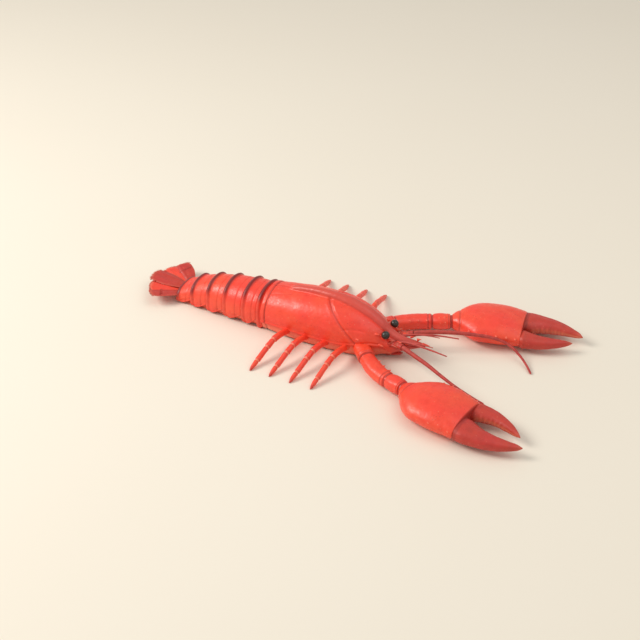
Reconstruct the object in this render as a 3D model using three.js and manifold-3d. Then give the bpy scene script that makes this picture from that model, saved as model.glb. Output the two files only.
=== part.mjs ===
// A whole cooked lobster, resting on its belly with both claws reaching forward.
// Millimetres, +Z up, +X towards the head, +Y to the animal's left.
// The origin is on the resting surface, under the middle of the whole length and width.
import * as THREE from 'three';
import { mergeVertices } from 'three/addons/utils/BufferGeometryUtils.js';
import Module from 'manifold-3d';

const wasm = await Module();
wasm.setup();

// ---- driving dimensions -------------------------------------------------------------
// X is measured from a plane through the highest part of the carapace.
const GAP = 0.3;                    // clearance kept between neighbouring pieces
const CARAPACE_REAR_X = -49.4;      // rear edge of the carapace, where the tail starts
const ROSTRUM_TIP = [97.6, 17];     // X and height of the beak's point
const TAIL_JOINTS_X = [-49.4, -54.2, -69.4, -88.9, -106.6, -123.8, -139.3];  // front to back
const TELSON_TIP_X = -172;
const FINGER_TIP = [207.4, 79.6, 9];            // point of the fixed finger
const DACTYL_TIP = [201.6, 68.4, 8.6];          // point of the movable finger
const MIDDLE_X = (TELSON_TIP_X + FINGER_TIP[0]) / 2;

const MARGIN_WIDTH = 3;             // dark raised rim at the rear of each tail ring
const MARGIN_HEIGHT = 0.9;
const CARAPACE_STEP = 6;            // spacing of the carapace's sections

const LEG_ROOTS_X = [31, 13, -5.5, -24];        // first to fourth walking leg
const LEG_TIPS_X = [26.4, 7.1, -11.7, -30];
const LEG_REACH = 74.8;             // how far a leg's point is from the middle plane
const LEG_KNEE = [43, 12.6];        // distance from the middle plane, and height
const LEG_RADII = [2.5, 2.3, 1.9, 1.2];         // root, knee, shin, point

const EYE = { x: 63, y: 9.4, z: 22.9, radius: 3.6 };

// Body sections: x, half width, top, height of the widest line, half width of the flat
// belly, floor, then the half width and height of the ridge along the back.
const CARAPACE_SECTIONS = [
  [-49.4, 22.2, 35.2, 15, 17.2, 0, 3, 0.2],
  [-40, 23, 36.4, 15.6, 18.8, 0, 3, 0.8],
  [-28, 24, 38, 16.5, 20.6, 0, 3.4, 2.8],
  [-10, 24.9, 40.4, 17.4, 21.6, 0, 4, 4.4],
  [8, 25.1, 41.2, 17.8, 21.6, 0, 5, 5],
  [24, 24.3, 39.8, 17.4, 21, 0, 6, 5],
  [38, 22.3, 36, 16, 19.4, 0, 6.8, 5],
  [48, 19.6, 31.8, 14.4, 16.6, 0, 7, 5],
  [56, 16.4, 26.6, 12.6, 12.8, 1, 6.6, 4.8],
  [63, 12.9, 20.8, 11.4, 9.6, 3, 5.6, 4],
  [70, 9.8, 17.6, 11, 6.4, 5.6, 4.8, 2.6],
  [78, 7, 16.8, 12.4, 3.6, 8.8, 3.8, 1.8],
  [86, 5, 17, 14.4, 2, 12, 2.4, 1],
  [92, 2.6, 17.1, 15.6, 1, 14.4, 1.2, 0.4],
  [96, 0.9, 17.1, 16.4, 0.5, 15.9, 0.4, 0.2],
];
const TAIL_SECTIONS = [
  [-141, 15.2, 10.6, 5, 14.2, 0, 4, 0],
  [-131, 15.9, 16.2, 6.6, 15.4, 0, 4, 0],
  [-123.8, 16.4, 20.2, 8, 16, 0, 4, 0],
  [-106.6, 18, 26.6, 10.4, 16.6, 0, 4, 0],
  [-88.9, 19.6, 30.4, 12.6, 16.8, 0, 4, 0],
  [-69.4, 21, 32.8, 14, 17, 0, 4, 0],
  [-49.4, 21.4, 33.6, 15, 17.2, 0, 4, 0],
];
// Claw sections: x, distance from the middle plane, half width, half height, height of the
// centre, and the angle in degrees by which the section's axis turns outward.
const PALM_SECTIONS = [
  [98.8, 53.1, 6.6, 6, 9.2, 24],
  [104.5, 56, 11.6, 8, 9.4, 21],
  [112, 58.8, 18.6, 9.8, 9.9, 17],
  [121, 61, 23.8, 10.6, 10.6, 14],
  [135, 64.2, 24.6, 11, 11, 11],
  [149, 67.2, 23.4, 10.2, 10.4, 10],
  [157, 68.9, 22.4, 9, 9.6, 9.5],
  [158.8, 69.2, 21.9, 8.5, 9.4, 9.5],
  [160.4, 80, 12.5, 7.2, 9, 8],
  [171, 81.8, 11.7, 6.8, 8.8, 5],
  [181, 82.7, 10.2, 6.2, 8.7, -1],
  [190, 82.7, 8, 5.2, 8.7, -9],
  [198, 81.7, 4.9, 3.8, 8.8, -17],
  [204, 80.6, 2, 1.9, 9, -22],
];
const DACTYL_SECTIONS = [
  [157, 55.6, 8.8, 6.6, 8.9, 9.5],
  [164, 56, 9.4, 6.9, 8.8, 10],
  [171, 57, 9.5, 6.8, 8.7, 14],
  [180, 58.9, 7.5, 6, 8.6, 25],
  [188, 61.8, 5.3, 5, 8.6, 35],
  [194.6, 64.8, 3.3, 3.6, 8.6, 42],
  [199, 67, 1.6, 1.7, 8.6, 42],
];

// ---- colours ------------------------------------------------------------------------
const SHELL = { color: 0xfb5546, roughness: 0.38, metalness: 0 };
const DARK_SHELL = { color: 0xd3483c, roughness: 0.42, metalness: 0 };
const FEELER = { color: 0xc23f3a, roughness: 0.5, metalness: 0 };
const EYE_BLACK = { color: 0x36372d, roughness: 0.3, metalness: 0 };

// ---- general shapes -----------------------------------------------------------------
// Smooth values between the rows of a table whose first column is the position.
function interpolate(table, x) {
  const last = table.length - 1;
  const at = THREE.MathUtils.clamp(x, table[0][0], table[last][0]);
  let i = 0;
  while (i < last - 1 && at > table[i + 1][0]) i += 1;
  const slope = (k, column) => (table[k + 1][column] - table[k][column]) / (table[k + 1][0] - table[k][0]);
  const tangent = (k, column) => {
    if (k === 0) return slope(0, column);
    if (k === last) return slope(last - 1, column);
    const before = slope(k - 1, column);
    const after = slope(k, column);
    return before * after <= 0 ? 0 : (2 * before * after) / (before + after);
  };
  const span = table[i + 1][0] - table[i][0];
  const t = (at - table[i][0]) / span;
  const row = [at];
  for (let column = 1; column < table[0].length; column += 1) {
    const from = table[i][column];
    const to = table[i + 1][column];
    row.push(from * (1 + 2 * t) * (1 - t) ** 2 + to * t * t * (3 - 2 * t)
      + span * (tangent(i, column) * t * (1 - t) ** 2 - tangent(i + 1, column) * t * t * (1 - t)));
  }
  return row;
}

// A closed skin over rings of equal length. Each end is a fan to a point: the ring's own
// centre for a flat end, or a given tip.
function loft(rings, startTip, endTip) {
  const centre = (ring) => ring.reduce((sum, p) => sum.add(p), new THREE.Vector3()).divideScalar(ring.length);
  const count = rings[0].length;
  const points = [...rings.flat(), startTip ?? centre(rings[0]), endTip ?? centre(rings[rings.length - 1])];
  const start = points.length - 2;
  const end = points.length - 1;
  const index = [];
  for (let k = 0; k < count; k += 1) {
    const next = (k + 1) % count;
    index.push(start, next, k);
    for (let r = 0; r + 1 < rings.length; r += 1) {
      const a = r * count;
      const b = a + count;
      index.push(a + k, a + next, b + next, a + k, b + next, b + k);
    }
    const rim = (rings.length - 1) * count;
    index.push(end, rim + k, rim + next);
  }
  const volume = index.reduce((sum, _, i) => (i % 3 ? sum
    : sum + points[index[i]].dot(new THREE.Vector3().crossVectors(points[index[i + 1]], points[index[i + 2]]))), 0);
  if (volume < 0) index.reverse();
  const geometry = new THREE.BufferGeometry();
  geometry.setAttribute('position', new THREE.Float32BufferAttribute(points.flatMap((p) => p.toArray()), 3));
  geometry.setIndex(index);
  return geometry;
}

// An oval tube along a curve; radii(t) gives the half width and half height at t.
function tube(curve, steps, sides, radii, startTip, endTip) {
  const up = new THREE.Vector3(0, 0, 1);
  const rings = [];
  for (let i = 0; i <= steps; i += 1) {
    const t = i / steps;
    const middle = curve.getPointAt(t);
    const along = curve.getTangentAt(t);
    const across = new THREE.Vector3().crossVectors(up, along).normalize();
    const over = new THREE.Vector3().crossVectors(along, across);
    const [wide, high] = radii(t);
    rings.push(Array.from({ length: sides }, (_, k) => {
      const angle = ((k + 0.5) / sides) * 2 * Math.PI;
      return middle.clone().addScaledVector(across, wide * Math.cos(angle)).addScaledVector(over, high * Math.sin(angle));
    }));
  }
  return loft(rings, startTip, endTip);
}

function curveThrough(points) {
  return new THREE.CatmullRomCurve3(points.map((p) => new THREE.Vector3(...p)), false, 'centripetal');
}

// Removes from a piece whatever lies inside another.
function cut(geometry, tool) {
  const solid = (source) => {
    const bare = source.clone();
    bare.deleteAttribute('normal');
    bare.deleteAttribute('uv');
    const merged = mergeVertices(bare, 1e-5);
    return new wasm.Manifold(new wasm.Mesh({
      numProp: 3,
      vertProperties: new Float32Array(merged.getAttribute('position').array),
      triVerts: new Uint32Array(merged.getIndex().array),
    }));
  };
  const parts = solid(geometry).subtract(solid(tool)).decompose();
  const largest = parts.reduce((a, b) => (a.volume() > b.volume() ? a : b));
  const mesh = largest.getMesh();
  const result = new THREE.BufferGeometry();
  result.setAttribute('position', new THREE.Float32BufferAttribute(mesh.vertProperties, 3));
  result.setIndex(Array.from(mesh.triVerts));
  return result;
}

// ---- the body -----------------------------------------------------------------------
// One section of the body: a ridge on top, a domed back, and a flank that tucks in to the
// flat belly. grow makes every side stand out by that much.
function bodyRing(row, grow = 0) {
  const [x, half, top, waist, belly, floor, ridgeHalf, ridgeHigh] = row;
  const backSteps = 6;
  const flankSteps = 4;
  const fullness = 2.15;
  const dome = (y) => waist + (top - waist) * (1 - Math.min(1, y / half) ** fullness) ** (1 / fullness);
  const side = [[0, dome(0) + ridgeHigh], [ridgeHalf * 0.5, dome(ridgeHalf * 0.5) + ridgeHigh * 0.72]];
  const first = Math.acos(ridgeHalf / half);
  for (let k = 0; k <= backSteps; k += 1) {
    const y = half * Math.cos(first * (1 - k / backSteps));
    side.push([y, dome(y)]);
  }
  for (let k = 1; k <= flankSteps; k += 1) {
    const turn = (k / flankSteps) * (Math.PI / 2);
    side.push([belly + (half - belly) * Math.cos(turn), floor + (waist - floor) * (1 - Math.sin(turn))]);
  }
  const middle = (top + floor) / 2;
  const grown = side.map(([y, z]) => {
    const away = new THREE.Vector2(y, z - middle);
    return away.setLength(away.length() + grow);
  });
  const left = grown.map((p) => new THREE.Vector3(x, p.x, p.y + middle));
  const right = grown.slice(1).reverse().map((p) => new THREE.Vector3(x, -p.x, p.y + middle));
  return [...left, ...right];
}

function carapaceSkin(grow = 0) {
  const stations = [];
  for (let x = CARAPACE_REAR_X; x < 92; x += CARAPACE_STEP) stations.push(x);
  stations.push(95);
  const rings = stations.map((x) => bodyRing(interpolate(CARAPACE_SECTIONS, x), grow));
  const rear = new THREE.Vector3(CARAPACE_REAR_X - grow, 0, 15);
  return loft(rings, grow ? rear : undefined, new THREE.Vector3(ROSTRUM_TIP[0] + grow, 0, ROSTRUM_TIP[1]));
}

// One ring of the tail, with the raised rim along its rear edge.
function tailRing(front, rear, grow = 0) {
  const steps = Math.max(1, Math.round((front - rear - MARGIN_WIDTH) / 7));
  const rise = (x, lift) => bodyRing(interpolate(TAIL_SECTIONS, x).map((v, column) => (
    column === 1 || column === 2 ? v + lift : v)), grow);
  const rings = [rise(rear - grow, MARGIN_HEIGHT * 0.5), rise(rear + 0.7, MARGIN_HEIGHT),
    rise(rear + MARGIN_WIDTH - 0.6, MARGIN_HEIGHT)];
  for (let k = 0; k <= steps; k += 1) {
    rings.push(rise(THREE.MathUtils.lerp(rear + MARGIN_WIDTH, front, k / steps), 0));
  }
  return loft(rings);
}

// ---- the tail fan -------------------------------------------------------------------
// A leaf-shaped plate: root at its start, then out along its length to a rounded end.
function blade({ root, turn, tilt, roll, length, width, thickness }) {
  const profile = [[-0.08, 0.4], [0.12, 0.6], [0.35, 0.84], [0.6, 1], [0.82, 1], [0.94, 0.8], [0.99, 0.5]];
  const rings = profile.map(([t, share]) => {
    const half = (width / 2) * share;
    const thick = thickness * (1 - 0.35 * t);
    return [[-1, 0.25], [-0.55, 0.9], [0, 1.15], [0.55, 0.9], [1, 0.25], [1, -0.25], [0.5, -0.6], [-0.5, -0.6], [-1, -0.25]]
      .map(([across, over]) => new THREE.Vector3(-t * length, across * half, (over * thick) / 2));
  });
  const geometry = loft(rings, undefined, new THREE.Vector3(-length, 0, 0));
  geometry.applyMatrix4(new THREE.Matrix4()
    .makeRotationZ(turn)
    .multiply(new THREE.Matrix4().makeRotationY(tilt))
    .multiply(new THREE.Matrix4().makeRotationX(roll)));
  return geometry.translate(...root);
}

// ---- limbs --------------------------------------------------------------------------
function walkingLeg(index, side) {
  const rootX = LEG_ROOTS_X[index];
  const tipX = LEG_TIPS_X[index];
  const at = (reach, height) => [
    THREE.MathUtils.lerp(rootX, tipX, (reach - 20) / (LEG_REACH - 20)), side * reach, height];
  const path = curveThrough([at(17, 7.6), at(26, 9.8), at(34.5, 12.2), at(...LEG_KNEE), at(52, 9.6),
    at(63, 5.2), at(72, 2)]);
  const thickness = [[0, LEG_RADII[0]], [0.2, LEG_RADII[0] * 0.86], [0.46, LEG_RADII[1]],
    [0.6, LEG_RADII[2] * 0.95], [0.78, LEG_RADII[2]], [1, LEG_RADII[3]]];
  const radii = (t) => {
    const [, r] = interpolate(thickness, t);
    return [r, r * 0.94];
  };
  return tube(path, 10, 7, radii, undefined, new THREE.Vector3(...at(LEG_REACH, 0.5)));
}

function armCurve(side) {
  return curveThrough([[40, side * 12, 10], [50, side * 23, 9.2], [61, side * 34, 8.2], [73, side * 42.4, 7.8],
    [84, side * 47.4, 8.2], [92, side * 50.4, 8.8], [98.5, side * 53, 9.2]]);
}

// A stretch of the claw's arm between two shares of its curve.
function armStretch(side, from, to, bulge) {
  const whole = armCurve(side);
  const steps = 7;
  const points = Array.from({ length: steps + 1 }, (_, k) => whole.getPointAt(THREE.MathUtils.lerp(from, to, k / steps)));
  const radii = (t) => {
    const size = interpolate([[0, 7.2], [0.35, 7], [0.7, 6.4], [1, 5.6]], THREE.MathUtils.lerp(from, to, t))[1];
    const swell = 0.9 + bulge * Math.sin(Math.PI * t) ** 0.6;
    return [size * swell, size * swell * 0.94];
  };
  return tube(new THREE.CatmullRomCurve3(points), steps, 14, radii);
}

// The rings of a claw or finger section by section. grow makes every side stand out.
function clawRings(table, stations, side, grow = 0) {
  const sides = 16;
  const fullness = 2.3;
  const power = (value) => Math.sign(value) * Math.abs(value) ** (2 / fullness);
  return stations.map((station) => {
    const [x, reach, half, high, middle, turn] = interpolate(table, station);
    const angle = THREE.MathUtils.degToRad(turn);
    return Array.from({ length: sides }, (_, k) => {
      const around = ((k + 0.5) / sides) * 2 * Math.PI;
      const across = (half + grow) * power(Math.cos(around));
      const over = (high + grow) * power(Math.sin(around));
      return new THREE.Vector3(x - across * Math.sin(angle), side * (reach + across * Math.cos(angle)), middle + over);
    });
  });
}

// The palm and its fixed finger are one shell.
function palm(side, grow = 0) {
  const stations = PALM_SECTIONS.map(([x]) => x + (x > 158 && x < 162 ? grow : 0));
  const rings = clawRings(PALM_SECTIONS, PALM_SECTIONS.map(([x]) => x), side, grow);
  rings.forEach((ring, i) => ring.forEach((p) => p.setX(p.x + stations[i] - PALM_SECTIONS[i][0])));
  return loft(rings, undefined, new THREE.Vector3(FINGER_TIP[0], side * FINGER_TIP[1], FINGER_TIP[2]));
}

function dactyl(side) {
  const rings = clawRings(DACTYL_SECTIONS, DACTYL_SECTIONS.map(([x]) => x), side);
  const tip = new THREE.Vector3(DACTYL_TIP[0], side * DACTYL_TIP[1], DACTYL_TIP[2]);
  return cut(loft(rings, undefined, tip), palm(side, GAP));
}

// ---- head parts ---------------------------------------------------------------------
function antennaCurve(side) {
  const leftEnd = [[125, 33.4, 15.8], [140, 38.6, 14], [153, 41, 10.4], [166, 36.4, 5.4], [175, 29, 2.4], [181, 22, 0.8]];
  const rightEnd = [[122, -31.6, 15], [136, -36, 10.4], [147, -38.4, 6], [156, -39.8, 2.8], [162, -40.6, 1.2]];
  return curveThrough([[80, side * 11.6, 17], [92, side * 18.2, 17.6], [108, side * 25.8, 17.4],
    ...(side > 0 ? leftEnd : rightEnd)]);
}

// ---- assembly -----------------------------------------------------------------------
const lobster = new THREE.Group();
lobster.position.x = -MIDDLE_X;

function eyeball(side, grow = 0) {
  return new THREE.SphereGeometry(EYE.radius + grow, 11, 7).rotateX(Math.PI / 2)
    .translate(EYE.x, side * EYE.y, EYE.z);
}

function add(name, geometry, finish) {
  const mesh = new THREE.Mesh(geometry, new THREE.MeshStandardMaterial({ ...finish, flatShading: true }));
  mesh.name = name;
  lobster.add(mesh);
}

add('carapace', cut(cut(carapaceSkin(), eyeball(1, GAP)), eyeball(-1, GAP)), SHELL);

TAIL_JOINTS_X.slice(1).forEach((rear, i) => {
  add(`tail_ring_${i + 1}`, tailRing(TAIL_JOINTS_X[i] - GAP, rear), SHELL);
});

const tailEnd = tailRing(TAIL_JOINTS_X[5] - GAP, TAIL_JOINTS_X[6], GAP);
add('telson', cut(blade({
  root: [-139.4, 0, 8.8], turn: 0, tilt: 0.11, roll: 0, length: -TELSON_TIP_X - 139.4, width: 16, thickness: 2.2,
}), tailEnd), DARK_SHELL);

const bodyGrown = carapaceSkin(GAP);
for (const [word, side] of [['left', 1], ['right', -1]]) {
  add(`uropod_inner_${word}`, cut(blade({
    root: [-139, side * 5, 6.4], turn: -side * 0.36, tilt: 0.145, roll: side * 0.12,
    length: 29.5, width: 14, thickness: 2,
  }), tailEnd), SHELL);
  add(`uropod_outer_${word}`, cut(blade({
    root: [-138.6, side * 8.4, 3.9], turn: -side * 0.74, tilt: 0.21, roll: side * 0.3,
    length: 27, width: 15.4, thickness: 2,
  }), tailEnd), DARK_SHELL);

  LEG_ROOTS_X.forEach((_, i) => {
    add(`leg_${i + 1}_${word}`, cut(walkingLeg(i, side), bodyGrown), SHELL);
  });

  add(`arm_base_${word}`, cut(armStretch(side, 0, 0.3, 0.1), bodyGrown), SHELL);
  add(`arm_${word}`, armStretch(side, 0.305, 0.765, 0.1), SHELL);
  add(`wrist_${word}`, armStretch(side, 0.77, 0.995, 0.24), SHELL);
  add(`palm_${word}`, palm(side), SHELL);
  add(`dactyl_${word}`, dactyl(side), DARK_SHELL);

  add(`eye_${word}`, eyeball(side), EYE_BLACK);
  const stalk = tube(curveThrough([[58, side * 6.4, 15], [60.4, side * 7.8, 18.8], [EYE.x, side * EYE.y, EYE.z]]),
    3, 10, (t) => [2.4 + 0.5 * t, 2.4 + 0.5 * t]);
  add(`eyestalk_${word}`, cut(cut(stalk, bodyGrown), eyeball(side, GAP)), SHELL);

  add(`antenna_base_${word}`, cut(tube(curveThrough([[62, side * 6.4, 12], [70, side * 8, 15], [79.4, side * 11.3, 16.9]]),
    5, 10, (t) => [3.4 - 1.2 * t, 3.2 - 1.1 * t]), bodyGrown), DARK_SHELL);
  add(`antenna_${word}`, tube(antennaCurve(side), 19, 5, (t) => [1.5 - 0.95 * t, 1.5 - 0.95 * t]), FEELER);
  add(`antennule_${word}`, cut(tube(curveThrough([[70, side * 3.9, 15.8], [84, side * 6.9, 19.6], [102, side * 10.8, 21.8],
    [119.3, side * 13.7, 22.2]]), 9, 6, (t) => [1 - 0.6 * t, 1 - 0.6 * t]), bodyGrown), FEELER);
  add(`mouth_leg_${word}`, cut(tube(curveThrough([[44, side * 9, 2.4], [58, side * 7, 2.9], [70, side * 5, 3.4], [76, side * 4, 5.4]]),
    6, 8, (t) => [2.4 - 1 * t, 2.3 - 1 * t]), bodyGrown), DARK_SHELL);
}

export default lobster;
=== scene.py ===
"""A whole cooked lobster on a pale table: shell, claws, legs, feelers, eyes and tail fan."""

import math

import bpy
import numpy as np
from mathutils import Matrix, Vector, noise


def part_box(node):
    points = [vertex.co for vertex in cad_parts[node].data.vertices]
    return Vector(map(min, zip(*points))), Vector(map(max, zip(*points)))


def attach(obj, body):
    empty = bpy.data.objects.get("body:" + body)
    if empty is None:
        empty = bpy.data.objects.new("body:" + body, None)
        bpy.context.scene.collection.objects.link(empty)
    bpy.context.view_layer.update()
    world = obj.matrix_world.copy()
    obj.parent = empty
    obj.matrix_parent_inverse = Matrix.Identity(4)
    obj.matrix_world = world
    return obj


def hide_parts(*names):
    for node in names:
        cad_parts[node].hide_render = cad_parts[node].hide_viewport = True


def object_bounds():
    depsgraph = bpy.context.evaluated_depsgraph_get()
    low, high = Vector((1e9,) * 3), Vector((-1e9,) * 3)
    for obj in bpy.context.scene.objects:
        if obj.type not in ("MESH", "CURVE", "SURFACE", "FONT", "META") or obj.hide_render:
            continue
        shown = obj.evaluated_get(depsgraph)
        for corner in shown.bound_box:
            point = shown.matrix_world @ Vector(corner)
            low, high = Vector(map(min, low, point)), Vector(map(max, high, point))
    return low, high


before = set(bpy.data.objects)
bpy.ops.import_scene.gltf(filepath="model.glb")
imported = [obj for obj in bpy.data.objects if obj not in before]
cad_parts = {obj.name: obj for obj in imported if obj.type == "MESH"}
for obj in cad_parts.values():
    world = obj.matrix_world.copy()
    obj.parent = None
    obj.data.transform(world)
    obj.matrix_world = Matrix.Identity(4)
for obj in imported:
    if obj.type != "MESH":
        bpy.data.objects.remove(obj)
cad_low, cad_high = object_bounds()

# ---- sizes, in millimetres: x forward from a plane across the carapace, z up from the table ----
MM = 0.001
CARAPACE_REAR = -49.4
SHIFT_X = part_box("carapace")[0].x / MM - CARAPACE_REAR
TAIL_JOINTS = [-49.4, -54.2, -69.4, -88.9, -106.6, -123.8, -139.3]
RIM_WIDTH = 3.2
RIM_HEIGHT = 2.0
LAST_RIM_HEIGHT = 0.8
DOME_POWER = 2 / 2.15
CLAW_POWER = 2 / 2.3
EYE = np.array([63.0, 9.4, 22.9])
EYE_RADIUS = 3.6
EYE_SOCKET_GAP = 0.7
# the lowest height of a skin, and how far round a body ring from its top the flank starts
TABLE_TOP = 0.02
FLANK_START = 20
SIDES = (("left", 1.0), ("right", -1.0))
# angles round a ring, where a quarter turn is the top: straight up, and a leg's groove
UPWARD = 0.5 * math.pi
LEG_GROOVE = 1.57
# share of a fan blade's length where its rounded end starts, and its arch across
BLADE_ROUND = 0.86
BLADE_ARCH = 0.9
# the outer blades' hinge, as shares of the length: where it lies, and how much it slants
HINGE = 0.66
HINGE_SLANT = 0.05
LEG_ROWS = 190
ARM_ROWS = 400

# x, half width, top, height of the widest line, half width of the belly, floor, then the
# half width and height of the ridge along the back, which the tail doesn't have
CARAPACE_SECTIONS = [
    (-49.4, 22.2, 35.2, 15, 17.2, 0, 3, 0.1), (-40, 23, 36.4, 15.6, 18.8, 0, 3, 0.3),
    (-31, 23.8, 37.6, 16.3, 20.2, 0, 3.2, 0.8), (-27, 24, 38, 16.5, 20.6, 0, 3.4, 2.6),
    (-10, 24.9, 40.2, 17.4, 21.6, 0, 4, 3.7), (8, 25.1, 41, 17.8, 21.6, 0, 5, 4.3),
    (24, 24.3, 39.6, 17.4, 21, 0, 5.8, 4.4), (38, 22.3, 35.8, 16, 19.4, 0, 6.4, 4.4),
    (48, 19.6, 31.6, 14.4, 16.6, 0, 6.6, 4.5), (56, 16.4, 26.4, 12.6, 12.8, 1, 6.2, 4.5),
    (63, 12.9, 20.7, 11.4, 9.6, 3, 5.4, 3.9), (70, 9.8, 17.5, 11, 6.4, 5.6, 4.6, 2.6),
    (78, 7, 16.7, 12.4, 3.6, 8.8, 3.6, 1.8), (86, 5, 16.9, 14.4, 2, 12, 2.3, 1),
    (92, 2.6, 17.1, 15.6, 1, 14.4, 1.2, 0.4), (96, 0.9, 17.1, 16.4, 0.5, 15.9, 0.4, 0.2),
]
TAIL_SECTIONS = [
    (-145, 14.6, 7, 4.4, 13.2, 0), (-141, 15.2, 10.6, 5, 14.2, 0), (-131, 15.9, 16.2, 6.6, 15.4, 0),
    (-123.8, 16.4, 20.2, 8, 16, 0), (-106.6, 18, 26.6, 10.4, 16.6, 0),
    (-88.9, 19.6, 30.4, 12.6, 16.8, 0), (-69.4, 21, 32.8, 14, 17, 0),
    (-49.4, 21.4, 33.6, 15, 17.2, 0), (-44, 21.5, 33.9, 15, 17.4, 0),
]
# x, distance from the middle plane, half width, half height, height of the centre, turn in degrees
PALM_SECTIONS = [
    (98.8, 53.1, 6.6, 6, 9.2, 24), (104.5, 56, 11.6, 8, 9.4, 21), (112, 58.8, 18.6, 9.8, 9.9, 17),
    (121, 61, 23.8, 10.6, 10.6, 14), (135, 64.2, 24.6, 11, 11, 11),
    (149, 67.2, 23.4, 10.2, 10.4, 10), (157, 68.9, 22.4, 9, 9.6, 9.5),
    (158.8, 69.2, 21.9, 8.5, 9.4, 9.5),
]
FINGER_SECTIONS = [
    (150, 77.6, 12, 7, 9.2, 9), (160.4, 80.2, 11.8, 7, 9, 8), (171, 83, 9.2, 6.3, 8.8, 5),
    (181, 84, 7.2, 5.5, 8.8, -1), (190, 83.5, 5.6, 4.5, 8.8, -9), (198, 82.0, 3.7, 3.2, 8.9, -17),
    (204, 80.6, 2, 1.9, 9, -22), (207, 79.8, 0.4, 0.4, 9, -24),
]
DACTYL_SECTIONS = [
    (150, 54.6, 7.6, 6, 8.9, 9), (157, 55.2, 8.6, 6.4, 9, 9.5), (164, 54.8, 8.2, 6.3, 9.1, 10),
    (171, 55.2, 7.2, 5.8, 9.2, 14), (180, 57.2, 5.7, 4.9, 9.2, 25), (188, 60.6, 4.3, 4, 9.1, 35),
    (194.6, 64.2, 2.9, 2.9, 8.9, 42), (199, 66.9, 1.5, 1.5, 8.7, 42), (201.2, 68.3, 0.4, 0.4, 8.6, 42),
]
# x of each leg's root and tip, then distance from the middle plane and height along every leg
LEG_ROOTS = [32.6, 15, -3.5, -22]
LEG_TIPS = [26.6, 7.4, -11.4, -29.6]
LEG_LINE = [
    (14, 7), (20, 8.6), (26, 9.8), (34.5, 11.6), (43, 11.7), (52, 9.3), (63, 5.4), (71, 2.6), (77, 0.6),
]
# share of the leg's length and radius there
LEG_RADII = [
    (0, 3.0), (0.3, 2.8), (0.46, 2.65), (0.65, 2.5), (0.83, 2.25), (0.9, 2.0), (0.97, 1.15), (1, 0.25),
]
# x, distance from the middle plane and height
ARM_LINE = [(40, 12, 10), (50, 23, 9.2), (61, 34, 8.2), (73, 42.4, 7.8), (84, 47.4, 8.2),
            (92, 50.4, 8.8), (98.5, 53, 9.2)]
ANTENNA_START = [(80, 11.6, 17), (92, 18.2, 17.6), (108, 25.8, 17.4)]
ANTENNA_ENDS = {
    "left": [(125, 33.4, 15.8), (140, 38.6, 14), (153, 41, 10.4), (166, 36.4, 5.4), (175, 29, 2.4),
             (181, 22, 0.8)],
    "right": [(122, 31.8, 15.4), (136, 37, 13.2), (147, 40.2, 11.8), (156, 42.4, 10.6), (163, 43.6, 9.6)],
}


# ---- curves and tables -------------------------------------------------------------------
def hermite(knots, values, at, limited):
    """Smooth curves through the rows of values at the knots. limited keeps them from overshooting."""
    at = np.clip(at, knots[0], knots[-1])
    slopes = np.gradient(values, knots, axis=0)
    if limited:
        steps = np.diff(values, axis=0) / np.diff(knots)[:, None]
        before, after = steps[:-1], steps[1:]
        most = 3 * np.minimum(abs(before), abs(after))
        slopes[1:-1] = np.where(before * after > 0, np.clip(slopes[1:-1], -most, most), 0)
    k = np.clip(np.searchsorted(knots, at, side="right") - 1, 0, len(knots) - 2)
    width = (knots[k + 1] - knots[k])[:, None]
    t = (at - knots[k])[:, None] / width
    return ((2 * t**3 - 3 * t**2 + 1) * values[k] + (t**3 - 2 * t**2 + t) * width * slopes[k]
            + (3 * t**2 - 2 * t**3) * values[k + 1] + (t**3 - t**2) * width * slopes[k + 1])


def table_at(rows, at):
    """The columns of a table, each as an array with one row for each value in at."""
    rows = np.array(rows, float)
    return [column[:, None] for column in hermite(rows[:, 0], rows[:, 1:], np.asarray(at, float), True).T]


def line_through(points, count):
    """count points, evenly spaced, on a smooth curve through the given ones."""
    points = np.array(points, float)
    reach = np.concatenate([[0], np.cumsum(np.linalg.norm(np.diff(points, axis=0), axis=1))])
    fine = hermite(reach, points, np.linspace(0, reach[-1], 2000), False)
    along = np.concatenate([[0], np.cumsum(np.linalg.norm(np.diff(fine, axis=0), axis=1))])
    even = np.linspace(0, along[-1], count)
    return np.stack([np.interp(even, along, fine[:, axis]) for axis in range(3)], 1)


def ease(low, high, value):
    """A smooth step from 0 at low to 1 at high, held past both. low may be the larger."""
    t = np.clip((value - low) / (high - low), 0, 1)
    return t * t * (3 - 2 * t)


def bell(value, width):
    """1 at 0, falling away on both sides over about that width."""
    return np.exp(-((value / width) ** 2))


def lumps(points, size, seed=0.0):
    """Smooth noise from about -1 to 1, with lumps of that size in millimetres."""
    flat = points.reshape(-1, 3) / size + seed
    values = np.fromiter((noise.noise(Vector(p)) for p in flat.tolist()), float, len(flat))
    return values.reshape(points.shape[:-1])


def distance_to(path, x, s):
    """How far each (x, s) is from a line of straight stretches."""
    best = np.full(x.shape, 1e9)
    for (x0, s0), (x1, s1) in zip(path[:-1], path[1:]):
        dx, ds = x1 - x0, s1 - s0
        t = np.clip(((x - x0) * dx + (s - s0) * ds) / (dx * dx + ds * ds), 0, 1)
        best = np.minimum(best, np.hypot(x - x0 - t * dx, s - s0 - t * ds))
    return best


def angle_from(turn, facing):
    """Angles round a ring measured from facing, between minus and plus half a turn."""
    return np.mod(turn - facing + math.pi, 2 * math.pi) - math.pi


def on_table(grid):
    """The grid with every point that was below the table raised to it."""
    grid[:, :, 2] = np.maximum(grid[:, :, 2], TABLE_TOP)
    return grid


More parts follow.
